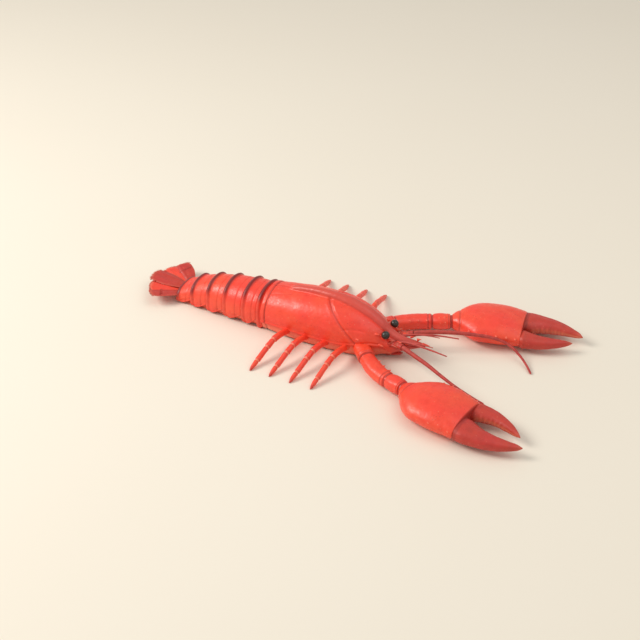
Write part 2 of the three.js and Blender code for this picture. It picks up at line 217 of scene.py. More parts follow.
# ---- meshes ------------------------------------------------------------------------------
class Shape:
    """Closed skins gathered into one piece, with the masks that its material reads."""

    def __init__(self):
        self.points, self.faces, self.count = [], [], 0
        self.masks = {"dark": [], "pale": [], "painted_sheen": []}

    def skin(self, grid, dark=0.0, pale=0.0, painted_sheen=0.0):
        """A grid of rings, closed round and capped at both ends."""
        rows, columns = grid.shape[:2]
        ends = [grid[0].mean(0), grid[-1].mean(0)]
        index = np.arange(rows * columns).reshape(rows, columns)
        after = np.roll(index, -1, 1)
        quads = np.stack([index[:-1], index[1:], after[1:], after[:-1]], 2).reshape(-1, 4)
        first, last = rows * columns, rows * columns + 1
        caps = [(first, a, b) for a, b in zip(index[0], after[0])]
        caps += [(last, b, a) for a, b in zip(index[-1], after[-1])]
        points = np.concatenate([grid.reshape(-1, 3), ends])
        corner = points[quads]
        volume = np.einsum("ij,ij->i", corner[:, 0] - points[0],
                           np.cross(corner[:, 1] - points[0], corner[:, 2] - points[0])).sum()
        volume += np.einsum("ij,ij->i", corner[:, 0] - points[0],
                            np.cross(corner[:, 2] - points[0], corner[:, 3] - points[0])).sum()
        turned = slice(None, None, -1) if volume < 0 else slice(None)
        for face in quads.tolist() + [list(map(int, cap)) for cap in caps]:
            self.faces.append([i + self.count for i in face[turned]])
        self.points.append(points)
        for name, mask in (("dark", dark), ("pale", pale), ("painted_sheen", painted_sheen)):
            full = np.broadcast_to(mask, grid.shape[:2]).reshape(-1)
            self.masks[name].append(np.concatenate([full, [full[0], full[-1]]]))
        self.count += len(points)

    def build(self, name, material, replaced=()):
        """The piece as an object in metres, on the one body, in place of the CAD nodes replaced."""
        mesh = bpy.data.meshes.new(name)
        points = (np.concatenate(self.points) + [SHIFT_X, 0, 0]) * MM
        mesh.from_pydata(points.tolist(), [], self.faces)
        for mask, values in self.masks.items():
            mesh.attributes.new(mask, "FLOAT", "POINT").data.foreach_set("value", np.concatenate(values))
        mesh.shade_smooth()
        mesh.materials.append(material)
        piece = bpy.data.objects.new(name, mesh)
        bpy.context.scene.collection.objects.link(piece)
        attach(piece, "root")
        if replaced:
            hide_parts(*replaced)
        return piece


def outward(grid):
    """Unit normals of a grid of closed rings, pointing away from each ring's middle."""
    along = np.gradient(grid, axis=0)
    around = np.roll(grid, -1, 1) - np.roll(grid, 1, 1)
    normals = np.cross(along, around)
    normals /= np.linalg.norm(normals, axis=2, keepdims=True) + 1e-9
    away = grid - grid.mean(1, keepdims=True)
    if (normals * away).sum() < 0:
        normals = -normals
    return normals


def mirrored(half):
    """A whole ring's values from those of its left half, which runs from the top to the belly."""
    return np.concatenate([half, half[:, -2:0:-1]], 1)


def tube_rings(line, wide, high, sides, power=1.0):
    """Rings along a line. wide and high are each ring's half width and half height."""
    ahead = np.gradient(line, axis=0)
    ahead /= np.linalg.norm(ahead, axis=1, keepdims=True)
    across = np.cross([0, 0, 1], ahead)
    across /= np.linalg.norm(across, axis=1, keepdims=True)
    over = np.cross(ahead, across)
    turn = np.linspace(0, 2 * math.pi, sides, endpoint=False)
    c = np.sign(np.cos(turn)) * abs(np.cos(turn)) ** power
    s = np.sign(np.sin(turn)) * abs(np.sin(turn)) ** power
    return (line[:, None] + across[:, None] * (wide[:, None] * c)[:, :, None]
            + over[:, None] * (high[:, None] * s)[:, :, None])


def spine(shape, root, towards, length, radius, dark=0.0, pale=0.35, rows=7):
    """A pointed thorn that starts a little inside the shell."""
    towards = np.array(towards, float) / np.linalg.norm(towards)
    t = np.linspace(-0.25, 1, rows)
    line = np.array(root, float) + towards * (t * length)[:, None]
    side = np.cross(towards, [0.2, 0.3, 0.93])
    side /= np.linalg.norm(side)
    over = np.cross(towards, side)
    turn = np.linspace(0, 2 * math.pi, 10, endpoint=False)
    size = radius * np.clip(1 - t, 0.03, 1.1) ** 0.8
    rings = (line[:, None] + side * (size[:, None] * np.cos(turn))[:, :, None]
             + over * (size[:, None] * np.sin(turn))[:, :, None])
    shape.skin(rings, dark, pale * ease(0.1, 1, t)[:, None])


# ---- materials ---------------------------------------------------------------------------
def tint(red, green, blue):
    """A colour's linear values from its 0 to 255 ones."""
    parts = [v / 255 for v in (red, green, blue)]
    return tuple(v / 12.92 if v <= 0.04045 else ((v + 0.055) / 1.055) ** 2.4 for v in parts) + (1.0,)


class Paint:
    """One material's nodes."""

    def __init__(self, name):
        self.material = bpy.data.materials.new(name)
        self.material.use_nodes = True
        self.tree = self.material.node_tree
        self.shader = self.tree.nodes["Principled BSDF"]
        self.place = self.add("ShaderNodeTexCoord").outputs["Object"]

    def add(self, kind, **settings):
        node = self.tree.nodes.new(kind)
        for key, value in settings.items():
            setattr(node, key, value)
        return node

    def link(self, source, target):
        self.tree.links.new(source, target)

    def feed(self, value, socket):
        """A linked output or a plain value into a socket."""
        if isinstance(value, bpy.types.NodeSocket):
            self.link(value, socket)
        else:
            socket.default_value = value

    def grain(self, size, detail):
        """Noise with lumps of that size in millimetres, from 0 to 1."""
        node = self.add("ShaderNodeTexNoise")
        node.inputs["Scale"].default_value = 1 / (size * MM)
        node.inputs["Detail"].default_value = detail
        self.link(self.place, node.inputs["Vector"])
        return node.outputs["Fac"]

    def dots(self, size, spread=1.0):
        """Distance from the nearest of many points about that many millimetres apart."""
        node = self.add("ShaderNodeTexVoronoi")
        node.inputs["Scale"].default_value = 1 / (size * MM)
        node.inputs["Randomness"].default_value = spread
        self.link(self.place, node.inputs["Vector"])
        return node.outputs["Distance"]

    def span(self, value, low, high, to_low=0.0, to_high=1.0):
        """The value moved from one range to another, and held inside it."""
        node = self.add("ShaderNodeMapRange", clamp=True)
        limits = {"From Min": low, "From Max": high, "To Min": to_low, "To Max": to_high}
        for key, number in limits.items():
            node.inputs[key].default_value = number
        self.link(value, node.inputs["Value"])
        return node.outputs["Result"]

    def mix(self, share, first, second):
        """A colour between two. Sockets 6, 7 and out 2 are the colour ones of a mix node."""
        node = self.add("ShaderNodeMix", data_type="RGBA")
        self.feed(share, node.inputs["Factor"])
        self.feed(first, node.inputs[6])
        self.feed(second, node.inputs[7])
        return node.outputs[2]

    def math(self, operation, first, second):
        node = self.add("ShaderNodeMath", operation=operation)
        for socket, value in zip(node.inputs, (first, second)):
            self.feed(value, socket)
        return node.outputs["Value"]

    def mask(self, name):
        return self.add("ShaderNodeAttribute", attribute_name=name).outputs["Fac"]

    def bump(self, height, depth, before=None):
        """Relief that many millimetres deep, on top of the relief before it."""
        node = self.add("ShaderNodeBump")
        node.inputs["Distance"].default_value = depth * MM
        self.link(height, node.inputs["Height"])
        if before:
            self.link(before, node.inputs["Normal"])
        return node.outputs["Normal"]


SHELL_RED = tint(251, 69, 50)
SHELL_WARM = tint(250, 82, 50)
SHELL_DEEP = tint(230, 48, 34)
RIM_BROWN = tint(128, 34, 34)
JOINT_CREAM = tint(250, 168, 132)
# a greyer, pinker red for the keel and the beak, a painted sheen
KEEL_PAINTED_SHEEN = tint(206, 78, 66)


def shell_paint(name, main, warm, deep, rim, pale, rough):
    """Cooked shell: broad drifts of colour, freckles, pits and fine grain."""
    paint = Paint(name)
    broad = paint.span(paint.grain(22, 2), 0.36, 0.66)
    cloud = paint.span(paint.grain(5.5, 4), 0.42, 0.72)
    colour = paint.mix(broad, main, warm)
    colour = paint.mix(paint.math("MULTIPLY", cloud, 0.45), colour, deep)
    freckle = paint.span(paint.dots(2.3), 0.10, 0.26, 1.0, 0.0)
    some = paint.span(paint.grain(7, 2), 0.5, 0.62)
    freckle = paint.math("MULTIPLY", paint.math("MULTIPLY", freckle, some), 0.32)
    colour = paint.mix(freckle, colour, rim)
    fleck = paint.span(paint.dots(3.7), 0.05, 0.15, 0.38, 0.0)
    colour = paint.mix(fleck, colour, pale)
    # painted sheen: the keel and the beak turn a greyer, pinker red
    colour = paint.mix(paint.mask("painted_sheen"), colour, KEEL_PAINTED_SHEEN)
    # the dark mask: rims, grooves and joints, and also a painted shadow line beside the keel
    colour = paint.mix(paint.mask("dark"), colour, rim)
    colour = paint.mix(paint.mask("pale"), colour, pale)
    paint.link(colour, paint.shader.inputs["Base Color"])
    gloss = paint.span(paint.grain(3, 4), 0.3, 0.75, rough - 0.08, rough + 0.16)
    paint.link(gloss, paint.shader.inputs["Roughness"])
    paint.shader.inputs["Coat Weight"].default_value = 0.16
    paint.shader.inputs["Coat Roughness"].default_value = 0.3
    paint.shader.inputs["Specular IOR Level"].default_value = 0.5
    relief = paint.bump(paint.grain(2.6, 5), 0.22)
    pits = paint.span(paint.dots(1.5), 0.06, 0.3)
    relief = paint.bump(pits, 0.10, relief)
    relief = paint.bump(paint.grain(0.5, 3), 0.05, relief)
    paint.link(relief, paint.shader.inputs["Normal"])
    return paint.material


shell = shell_paint("cooked_shell", SHELL_RED, SHELL_WARM, SHELL_DEEP, RIM_BROWN, JOINT_CREAM, 0.36)
dark_shell = shell_paint("dark_shell", tint(200, 52, 42), tint(199, 60, 40), tint(172, 38, 31),
                         tint(116, 32, 30), tint(234, 136, 102), 0.44)


def feeler_paint():
    """The darker red of the feelers and hairs, with bands from the masks."""
    paint = Paint("feeler")
    colour = paint.mix(paint.span(paint.grain(4, 3), 0.4, 0.65), tint(196, 62, 54), tint(168, 48, 46))
    colour = paint.mix(paint.mask("dark"), colour, tint(128, 38, 38))
    colour = paint.mix(paint.mask("pale"), colour, tint(226, 128, 102))
    paint.link(colour, paint.shader.inputs["Base Color"])
    paint.link(paint.span(paint.grain(1.2, 2), 0.3, 0.7, 0.42, 0.6), paint.shader.inputs["Roughness"])
    paint.link(paint.bump(paint.grain(0.5, 3), 0.05), paint.shader.inputs["Normal"])
    return paint.material


def eye_paint():
    """A near black eye with a fine grid of facets."""
    paint = Paint("eye_black")
    colour = paint.mix(paint.span(paint.grain(1.1, 2), 0.4, 0.7), tint(34, 33, 28), tint(60, 56, 46))
    paint.link(colour, paint.shader.inputs["Base Color"])
    paint.link(paint.span(paint.grain(2, 2), 0.3, 0.7, 0.24, 0.36), paint.shader.inputs["Roughness"])
    paint.link(paint.bump(paint.dots(0.28, 0.2), 0.02), paint.shader.inputs["Normal"])
    paint.shader.inputs["Coat Weight"].default_value = 0.25
    return paint.material


feeler = feeler_paint()
eye_black = eye_paint()


# ---- the body ----------------------------------------------------------------------------
def body_half(table, xs, dome, flank, belly):
    """The left halves of body sections, from the top of the back to the middle of the belly."""
    columns = table_at(table, xs)
    half, top, waist, under, floor = columns[:5]
    a = np.linspace(math.pi / 2, 0, dome, endpoint=False)
    y1 = half * np.cos(a) ** DOME_POWER
    z1 = waist + (top - waist) * np.sin(a) ** DOME_POWER
    if len(columns) > 5:
        ridge_half, ridge_high = columns[5:]
        z1 = z1 + ridge_high * (1 - np.clip(y1 / ridge_half, 0, 1) ** 3) ** 0.8
    t = np.linspace(0, math.pi / 2, flank, endpoint=False)
    y2 = under + (half - under) * np.cos(t)
    z2 = floor + (waist - floor) * (1 - np.sin(t))
    b = np.linspace(1, 0, belly)
    y, z = np.concatenate([y1, y2, under * b], 1), np.concatenate([z1, z2, floor + 0 * b], 1)
    return np.stack([np.asarray(xs)[:, None] + 0 * y, y, z], 2)


def from_top(half):
    """Distance round the ring from the top of the back."""
    step = np.linalg.norm(np.diff(half, axis=1), axis=2)
    return np.concatenate([np.zeros((len(half), 1)), np.cumsum(step, 1)], 1)


def whole_rings(half):
    """Closed rings from left halves and their mirror images."""
    right = half[:, -2:0:-1] * [1, -1, 1]
    return np.concatenate([half, right], 1)


def build_carapace():
    """The shell of head and chest, with its beak, grooves, keel and thorns."""
    xs = np.concatenate([np.linspace(CARAPACE_REAR, -44, 16, endpoint=False), np.linspace(-44, 95.6, 226)])
    half = body_half(CARAPACE_SECTIONS, xs, 92, 34, 12)
    x, z, s = half[:, :, 0], half[:, :, 2], from_top(half)
    ridge_half = table_at(CARAPACE_SECTIONS, xs)[5]
    edge_at, edge_height = [-49, -30, 28, 42, 52, 60, 70, 96], [9.4, 9.8, 10.2, 12.8, 14, 12.6, 10, 8]
    edge = np.interp(xs, edge_at, edge_height)[:, None]
    body = 1 - ease(56, 66, x)
    free = 1 - ease(60, 68, x)
    # the groove that runs down and forward from the back on each side, with raised lips
    neck = distance_to([(9, 6.4), (12, 12), (17.5, 19), (25, 26), (34, 32), (42, 37), (49, 40)], x, s)
    fade = ease(5.4, 8, s)
    lift = fade * (-0.95 * bell(neck, 1.1) + 0.3 * bell(neck - 2.6, 1.5))
    cheek = distance_to([(30, 29.5), (38, 25), (46, 21.5)], x, s)
    lift += -0.5 * bell(cheek, 0.9) * fade
    gill = distance_to([(-44, 11), (-26, 9.6), (-6, 8.6), (8, 8.4)], x, s)
    lift += -0.2 * bell(gill, 1.0)
    seam = bell(s, 0.5) * (1 - ease(-34, -29, x))
    lift += -0.35 * seam
    # the rear border, and the border along the free lower edge
    back = x - CARAPACE_REAR
    lift += -0.55 * bell(back - 4.6, 0.8) + 0.35 * ease(4.4, 3.4, back) - 0.9 * ease(0.7, 0, back)
    above = z - edge
    flank = s > FLANK_START
    lift += free * (0.35 * ease(2.2, 1.5, above) - 0.4 * bell(above - 2.7, 0.6)) * flank
    tucked = ease(0.5, -0.5, above) * flank
    lift += -2.0 * tucked * free
    # swellings over the gills, the stomach and the cheeks
    lift += 0.5 * bell(np.hypot((x + 18) / 24, (s - 26) / 11), 1) * body
    stomach = bell(np.hypot((x - 30) / 12, (s - 15) / 7), 1)
    lift += 0.55 * stomach + 0.4 * bell(np.hypot((x - 47) / 7, (s - 27) / 6), 1)
    # the dark line along each side of the keel is painted shadow, as if the keel cast it
    dark = 0.36 * bell(neck, 0.8) * fade + 0.35 * bell(s - ridge_half - 0.6, 0.8) * ease(-29, -24, x) * body
    dark += 0.35 * ease(66, 84, x) + 0.12 * bell(gill, 0.6) + 0.5 * bell(back - 4.4, 0.6) + 0.3 * seam
    dark += 0.55 * bell(above + 0.2, 0.5) * free * flank
    pale = 0.42 * ease(0, -5, above) * flank
    keel = ease(ridge_half + 1.2, ridge_half - 0.4, s) * ease(-29.5, -27, x)
    # the keel and, ahead of the eyes, the beak carry a painted sheen
    painted_sheen = 0.7 * keel + 0.8 * ease(62, 76, x) * (1 - keel)
    grid = whole_rings(half)
    lift, dark, pale, painted_sheen = mirrored(lift), mirrored(dark), mirrored(pale), mirrored(painted_sheen)
    normals = outward(grid)
    lift = lift + 0.2 * lumps(grid, 9) + 0.08 * lumps(grid, 3.4, 5.0)
    grid = on_table(grid + normals * lift[:, :, None])
    for _, side in SIDES:
        # the hollow that the eye sits in
        away = grid - EYE * [1, side, 1]
        far = np.linalg.norm(away, axis=2, keepdims=True)
        room = EYE_RADIUS + EYE_SOCKET_GAP
        grid = np.where(far < room, EYE * [1, side, 1] + away / far * room, grid)
    shape = Shape()
    shape.skin(grid, np.clip(dark, 0, 1), np.clip(pale, 0, 1), painted_sheen)
    # x, distance from the middle plane, height and length of the thorns along the beak
    beak_thorns = ((66, 8.4, 18.3, 5), (73.5, 6.9, 17.3, 4.4), (80.5, 5.6, 17.2, 3.8), (87, 3.8, 17.4, 3))
    for _, side in SIDES:
        for px, py, pz, length in beak_thorns:
            spine(shape, (px, side * py, pz), (1, side * 0.26, 0.3), length, 1.15)
        spine(shape, (55.4, side * 11.6, 22.6), (1, side * 0.2, 0.42), 3.6, 1.5, 0.1, 0.15)
        spine(shape, (59.5, side * 13.6, 14.6), (1, side * 0.35, 0.12), 4.6, 1.5)
        spine(shape, (42, side * 20.6, 19), (1, side * 0.55, 0.3), 2.6, 1.3)
    spine(shape, (94, 0, 17), (1, 0, 0.06), 5.6, 1.3, 0.3, 0.2)
    shape.build("carapace_shell", shell, ["carapace"])


def build_tail_ring(number):
    """One tail ring with a raised dark rim at its rear, tucked under the one ahead of it."""
    front, rear = TAIL_JOINTS[number - 1], TAIL_JOINTS[number]
    length = front - rear
    tuck = 3.6 if number > 1 else 2.2
    xs = np.concatenate([np.linspace(rear - 0.9, rear + 4.2, 15, endpoint=False),
                         np.linspace(rear + 4.2, front + tuck, max(10, int(length * 1.9)))])
    half = body_half(TAIL_SECTIONS, xs, 76, 34, 8)
    x, z, s = half[:, :, 0], half[:, :, 2], from_top(half)
    waist = table_at(TAIL_SECTIONS, xs)[2]
    u = (x - rear) / length
    edge_at, edge_share = [-0.1, 0.08, 0.3, 0.6, 0.85, 1.05, 1.3], [0.52, 0.16, 0.0, 0.2, 0.46, 0.62, 0.7]
    edge = 1.0 + np.interp(u, edge_at, edge_share) * waist
    behind = x - rear
    ahead = front - x
    rim_height = RIM_HEIGHT if number < 6 else LAST_RIM_HEIGHT
    over_back = 0.22 + 0.78 * ease(29, 13, s)
    crown = 0.72 + 0.28 * bell(behind - RIM_WIDTH / 2, 1.1)
    lift = rim_height * over_back * ease(RIM_WIDTH + 0.5, RIM_WIDTH - 1.0, behind) * crown
    lift += -1.6 * ease(0.25, -0.8, behind)
    lift += -0.3 * bell(behind - RIM_WIDTH - 0.9, 0.6)
    lift += -1.3 * ease(1.2, -0.6, ahead) - 0.22 * ease(length * 0.34, length * 0.3, ahead)
    lift += -0.35 * bell(ahead - length * 0.32, 0.5) * ease(3, 8, s)
    # the side flap, on all rings but the first, swells out above its free edge
    above = z - edge
    low = (s > FLANK_START) & (number > 1)
    lift += 0.5 * bell(np.hypot((u - 0.4) / 0.3, (z - waist * 0.55) / 4), 1) * low
    lift += (0.3 * ease(1.7, 1.1, above) - 0.25 * bell(above - 2.1, 0.5)) * low
    lift += -2.4 * ease(0.35, -0.45, above) * low
    dark = 0.95 * ease(RIM_WIDTH + 0.3, RIM_WIDTH - 0.6, behind) * (0.16 + 0.84 * ease(22, 14, s))
    dark += 0.6 * ease(0.6, -0.4, ahead) + 0.1 * bell(ahead - length * 0.32, 0.5)
    dark += 0.5 * bell(above, 0.5) * low
    pale = 0.35 * ease(-0.3, -3, above) * low
    grid = whole_rings(half)
    lift = mirrored(lift) + 0.14 * lumps(grid, 8, number * 3.1) + 0.06 * lumps(grid, 2.6, number * 1.7)
    grid = on_table(grid + outward(grid) * lift[:, :, None])
    shape = Shape()
    shape.skin(grid, np.clip(mirrored(dark), 0, 1), np.clip(mirrored(pale), 0, 1))
    shape.build(f"tail_shell_{number}", shell, [f"tail_ring_{number}"])


# ---- the tail fan ------------------------------------------------------------------------
def turned(points, turn, tilt, roll):
    """Points turned about their length, then tilted, then turned about the upright."""
    cr, sr, ct, st, cz, sz = (f(v) for v in (roll, tilt, turn) for f in (math.cos, math.sin))
    about_x = np.array([[1, 0, 0], [0, cr, -sr], [0, sr, cr]])
    about_y = np.array([[ct, 0, st], [0, 1, 0], [-st, 0, ct]])
    about_z = np.array([[cz, -sz, 0], [sz, cz, 0], [0, 0, 1]])
    return points @ (about_z @ about_y @ about_x).T


# share of a blade's length and of its half width
BLADE_OUTLINE = [
    (-0.12, 0.36), (0.0, 0.5), (0.12, 0.62), (0.35, 0.86), (0.6, 1.0), (0.8, 1.0), (0.9, 0.9),
    (0.96, 0.7), (0.99, 0.42), (1.0, 0.12),
]


def build_blade(name, node, material, root, turn, tilt, roll, length, width, thick, side, kind):
    """One blade of the fan, arched, rayed and ribbed. The kinds are telson, inner and outer."""
    ts = np.concatenate([np.linspace(-0.12, BLADE_ROUND, 70, endpoint=False),
                         BLADE_ROUND + 0.14 * np.sin(np.linspace(0, math.pi / 2, 26))])
    half = (width / 2) * table_at(BLADE_OUTLINE, ts)[0]
    turn_round = np.linspace(0, 2 * math.pi, 88, endpoint=False)
    across = np.cos(turn_round)
    flat = abs(np.sin(turn_round)) ** 0.55 * np.sign(np.sin(turn_round))
    t, v = ts[:, None], across[None, :] + 0 * ts[:, None]
    body = thick * (1 - 0.45 * np.clip(t, 0, 1)) / 2
    top = 1.1 - 0.35 * abs(v)
    relief = np.zeros(v.shape)
    if kind == "telson":
        ribs = 0.4 * bell(abs(v) - 0.42, 0.13) * ease(0.1, 0.3, t) * ease(1.0, 0.7, t)
        relief += ribs - 0.35 * bell(v, 0.2) * ease(0.2, 0.5, t)
    else:
        relief += 0.55 * bell(v + 0.1 * side, 0.12) * ease(1.0, 0.75, t)
        relief += 0.2 * bell(v - 0.45 * side, 0.16) * ease(0.95, 0.6, t)
    joint = t - HINGE - HINGE_SLANT * v * side
    if kind == "outer":
        relief += -0.6 * bell(joint, 0.014) + 0.35 * bell(joint + 0.03, 0.02)
    rays = np.sin(v * 34 + 2.5 * np.sin(t * 3)) * ease(0.45, 0.9, t)
    relief += 0.08 * rays
    over = flat * body * np.where(flat > 0, top, 0.75) + np.where(flat > 0, relief, 0) * abs(flat) ** 0.5
    arch = -BLADE_ARCH * v * v
    grid = np.stack([-t * length + 0 * v, v * half, over + arch], 2)
    grid[:, :, 2] += 0.16 * lumps(grid, 6, side * 2.2 + length)
    end = 0.25 * bell(t - 0.02, 0.05) + (0.75 * bell(joint, 0.01) if kind == "outer" else 0)
    dark = np.clip(end + 0.18 * ease(0.2, 1.0, rays) * ease(0.5, 0.9, t), 0, 1) + 0 * v
    pale = 0.25 * ease(0.9, 1.0, t) + 0.2 * ease(0.8, 1, abs(v))
    shape = Shape()
    place = np.array(root)
    shape.skin(turned(grid, turn, tilt, roll) + place, dark, pale)
    if kind == "outer":
        for k in np.linspace(-0.75, 0.75, 9):
            hinge = (HINGE + HINGE_SLANT * k * side) * length
            local = np.array([[-hinge + 0.6, k * width / 2 * 0.97, 0.9 - BLADE_ARCH * k * k]])
            tip = turned(np.array([[-1.0, 0, 0.12]]), turn, tilt, roll)[0]
            spine(shape, turned(local, turn, tilt, roll)[0] + place, tip, 1.7, 0.5, 0.2, 0.3, 5)
    if kind == "telson":
        for k in (-1, 1):
            local = np.array([[-0.8 * length, k * width * 0.485, -0.6]])
            tip = turned(np.array([[-1.0, k * 0.35, 0]]), turn, tilt, roll)[0]
            spine(shape, turned(local, turn, tilt, roll)[0] + place, tip, 2.2, 0.6)
    shape.build(name, material, [node])
    build_fringe(name + "_fringe", root, turn, tilt, roll, length, width, side)


def build_fringe(name, root, turn, tilt, roll, length, width, side):
    """The short hairs along the end of a fan blade."""
    angles = np.linspace(-1.25, 1.25, 96)
    shape = Shape()
    jitter = lumps(np.stack([angles * 40, angles * 0 + side, angles * 0 + length], 1), 1.0)
    for angle, wobble in zip(angles, jitter):
        v = math.sin(angle)
        t = BLADE_ROUND + 0.13 * math.cos(angle) ** 0.7
        root_at = np.array([-t * length + 0.4, v * width / 2 * 0.93, -BLADE_ARCH * v * v - 0.1])
        lean = angle * 0.75 + 0.35 * wobble
        reach = 2.1 + 0.5 * wobble
        tip = root_at + [-math.cos(lean) * reach, math.sin(lean) * reach, -0.25 + 0.5 * wobble]
        line = np.linspace(root_at, tip, 4)
        size = np.array([0.17, 0.15, 0.1, 0.03])
        shape.skin(turned(tube_rings(line, size, size, 5), turn, tilt, roll) + np.array(root), 0.0, 0.55)
    shape.build(name, feeler)


# ---- limbs -------------------------------------------------------------------------------
def jointed(t, joints, flare=0.12, neck=0.26, width=0.012):
    """How a limb's size swells and narrows over its segments, and where its soft joints show."""
    size = np.ones(t.shape)
    soft = np.zeros(t.shape)
    for start, end in zip(joints[:-1], joints[1:]):
        inside = (t >= start) & (t < end)
        u = (t - start) / (end - start)
        size = np.where(inside, 0.95 + flare * ease(0.3, 1, u) + 0.06 * bell(u - 0.06, 0.05), size)
    for joint in joints[1:-1]:
        size = size - neck * bell(t - joint, width)
        soft = soft + bell(t - joint, width * 0.8)
    return size, np.clip(soft, 0, 1)


def build_leg(index, word, side):
    """One walking leg, bent at the knee, with a pointed end and a few bristles."""
    root, tip = LEG_ROOTS[index], LEG_TIPS[index]
    # the sideways lean from root to tip, which starts 20 mm out and ends 56 mm further
    lean = [np.clip((reach - 20) / 56, -0.1, 1) for reach, _ in LEG_LINE]
    bends = [(root + (tip - root) * k, side * reach, high) for k, (reach, high) in zip(lean, LEG_LINE)]
    line = line_through(bends, LEG_ROWS)
    t = np.linspace(0, 1, LEG_ROWS)
    joints = [0.0, 0.13, 0.46, 0.6, 0.83, 1.0]
    size, soft = jointed(t, joints)
    radius = np.interp(t, *zip(*LEG_RADII))
    sides = 26
    rings = tube_rings(line, radius * size * 0.96, radius * size, sides, 0.94)
    turn = np.linspace(0, 2 * math.pi, sides, endpoint=False)[None, :]
    groove = 0.1 * bell(angle_from(turn, LEG_GROOVE), 0.35)
    middle = np.sin(np.pi * np.clip((t - 0.13) / 0.7, 0, 1))[:, None]
    lift = -groove * middle + 0.09 * lumps(rings, 2.4, index + side)
    rings = on_table(rings + outward(rings) * lift[:, :, None])
    claw = ease(0.9, 0.99, t)[:, None]
    nearest = np.abs(t[:, None] - np.array(joints[1:-1])[None]).min(1)
    edge = 0.3 * bell(nearest - 0.018, 0.006)[:, None]
    shape = Shape()
    pale = np.clip(0.5 * soft[:, None] + 0 * turn, 0, 1)
    shape.skin(rings, np.clip(0.45 * claw + edge, 0, 1) + 0 * turn, pale)
    # short bristles near the point
    for k in range(18):
        at = 0.8 + 0.15 * k / 18
        here = line[int(at * (LEG_ROWS - 1))]
        spin = k * 2.4
        towards = (0.5 * math.cos(spin), side * 0.9, 0.5 * math.sin(spin) - 0.1)
        start = here + np.array([math.cos(spin), 0, abs(math.sin(spin))]) * 0.7
        spine(shape, start, towards, 1.3, 0.14, 0.3, 0.5, 4)
    shape.build(f"walking_leg_{index + 1}_{word}", shell, [f"leg_{index + 1}_{word}"])


def build_arm(word, side):
    """The claw's arm: three stretches of shell on a darker tube that shows in the joints."""
    line = line_through([(x, side * y, z) for x, y, z in ARM_LINE], ARM_ROWS)
    base = np.interp(np.linspace(0, 1, ARM_ROWS), [0, 0.35, 0.7, 1], [7.2, 7.1, 6.8, 6.1])
    core = Shape()
    through = line_through([(x, side * y, z) for x, y, z in ARM_LINE + [(106, 56, 9.4)]], ARM_ROWS)
    core.skin(tube_rings(through, base * 0.88, base * 0.84, 30), 0.62, 0.0)
    core.build(f"arm_joints_{word}", shell)
    # node, piece, where it starts and ends along the arm, and how much it swells
    stretches = (("arm_base", "upper_arm_base", 0.0, 0.3, 0.1), ("arm", "upper_arm", 0.305, 0.765, 0.1),
                 ("wrist", "claw_wrist", 0.775, 0.985, 0.22))
    for node, name, start, end, swell in stretches:
        rows = 30 + int((end - start) * 150)
        t = np.linspace(0, 1, rows)
        share = start + (end - start) * t
        at_row, all_rows = share * (ARM_ROWS - 1), np.arange(ARM_ROWS)
        path = np.stack([np.interp(at_row, all_rows, line[:, axis]) for axis in range(3)], 1)
        radius = np.interp(at_row, all_rows, base)
        size = 0.9 + swell * np.sin(np.pi * t) ** 0.6 + 0.1 * ease(0.72, 0.94, t)
        size = size - 0.16 * ease(0.035, 0.0, t) - 0.14 * ease(0.965, 1, t)
        sides = 72
        rings = tube_rings(path, radius * size, radius * size * 0.94, sides, 0.92)
        turn = np.linspace(0, 2 * math.pi, sides, endpoint=False)[None, :]
        spread = np.sin(np.pi * t)[:, None]
        upper = angle_from(turn, UPWARD)
        lift = -0.28 * bell(upper, 0.4) * spread + 0.3 * bell(abs(upper) - 1.05, 0.3) * spread
        lift = lift - 0.4 * bell(t[:, None] - 0.9, 0.02) + 0.2 * lumps(rings, 5, side * 4.0 + start)
        lift = lift + 0.08 * lumps(rings, 1.8)
        rings = on_table(rings + outward(rings) * lift[:, :, None])
        dark = 0.5 * bell(t - 0.9, 0.02) + 0.4 * ease(0.94, 1.0, t) + 0.3 * ease(0.05, 0, t)
        shape = Shape()
        shape.skin(rings, np.clip(dark[:, None] + 0 * turn, 0, 1), 0.0)
        inner = -side
        if node == "arm":
            for at, lean in ((0.84, 0.9), (0.62, 0.7), (0.4, 0.6)):
                here = path[int(at * (rows - 1))]
                towards = (0.9, inner * lean, 0.55)
                spine(shape, here + np.array([2.2, inner * 4.2, 4.2]), towards, 2.4, 1.35)
            here = path[int(0.86 * (rows - 1))]
            spine(shape, here + np.array([2.6, side * 5.0, 3.4]), (0.9, side * 0.8, 0.3), 2.2, 1.3)
        if node == "wrist":
            for at, out, high in ((0.72, 5.0, 2.6), (0.45, 5.4, 2.2), (0.6, 2.0, 5.2), (0.3, 2.6, 4.8)):
                here = path[int(at * (rows - 1))]
                towards = (0.8, inner * out / 5, high / 5)
                spine(shape, here + np.array([1.2, inner * out, high]), towards, 2.2, 1.35)
            here = path[int(0.7 * (rows - 1))]
            spine(shape, here + np.array([0.4, side * 4.6, 3.0]), (0.9, side * 0.8, 0.5), 2.0, 0.9)
        shape.build(f"{name}_{word}", shell, [f"{node}_{word}"])


def claw_rings(table, xs, side, sides):
    """Rings of a claw part from a table of sections, and the angles round them."""
    reach, half, high, middle, angle = table_at(table, xs)
    turn = np.linspace(0, 2 * math.pi, sides, endpoint=False)
    across = half * np.sign(np.cos(turn)) * abs(np.cos(turn)) ** CLAW_POWER
    over = high * np.sign(np.sin(turn)) * abs(np.sin(turn)) ** CLAW_POWER
    angle = np.radians(angle)
    x = xs[:, None] - across * np.sin(angle)
    y = side * (reach + across * np.cos(angle))
    return np.stack([x, y, middle + over], 2), turn[None, :]


def teeth(xs, turn, facing, rows):
    """The blunt teeth along a finger's biting edge. rows are x, height and half length of each."""
    height = sum(h * bell(xs[:, None] - at, w) for at, h, w in rows)
    return height * bell(angle_from(turn, facing), 0.42)


PALM_THORNS = (113, 121, 129.5, 138, 146.5, 154)


